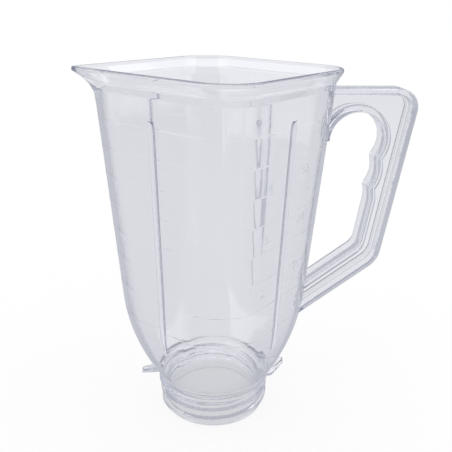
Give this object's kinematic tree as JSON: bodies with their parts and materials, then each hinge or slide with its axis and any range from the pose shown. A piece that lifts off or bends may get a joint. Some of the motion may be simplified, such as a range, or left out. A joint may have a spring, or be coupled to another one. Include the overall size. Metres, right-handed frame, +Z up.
{
  "type": "blender jar",
  "caption": "Clear moulded blender jar: square tapered body on a round threaded neck, with flared lip, corner spout, inner ribs, looped handle and locking lugs.",
  "frame": {"origin": "centre of the neck's lower end, on the axis of its bore", "axes": "+Z up along the bore axis, +X towards the handle, -X towards the spout"},
  "size_m": [0.1938, 0.1418, 0.2167],
  "materials": {
    "clear_plastic": "clear, glossy, injection moulded"
  },
  "bodies": {
    "root": {"jar": "clear_plastic"}
  },
  "joints": []
}
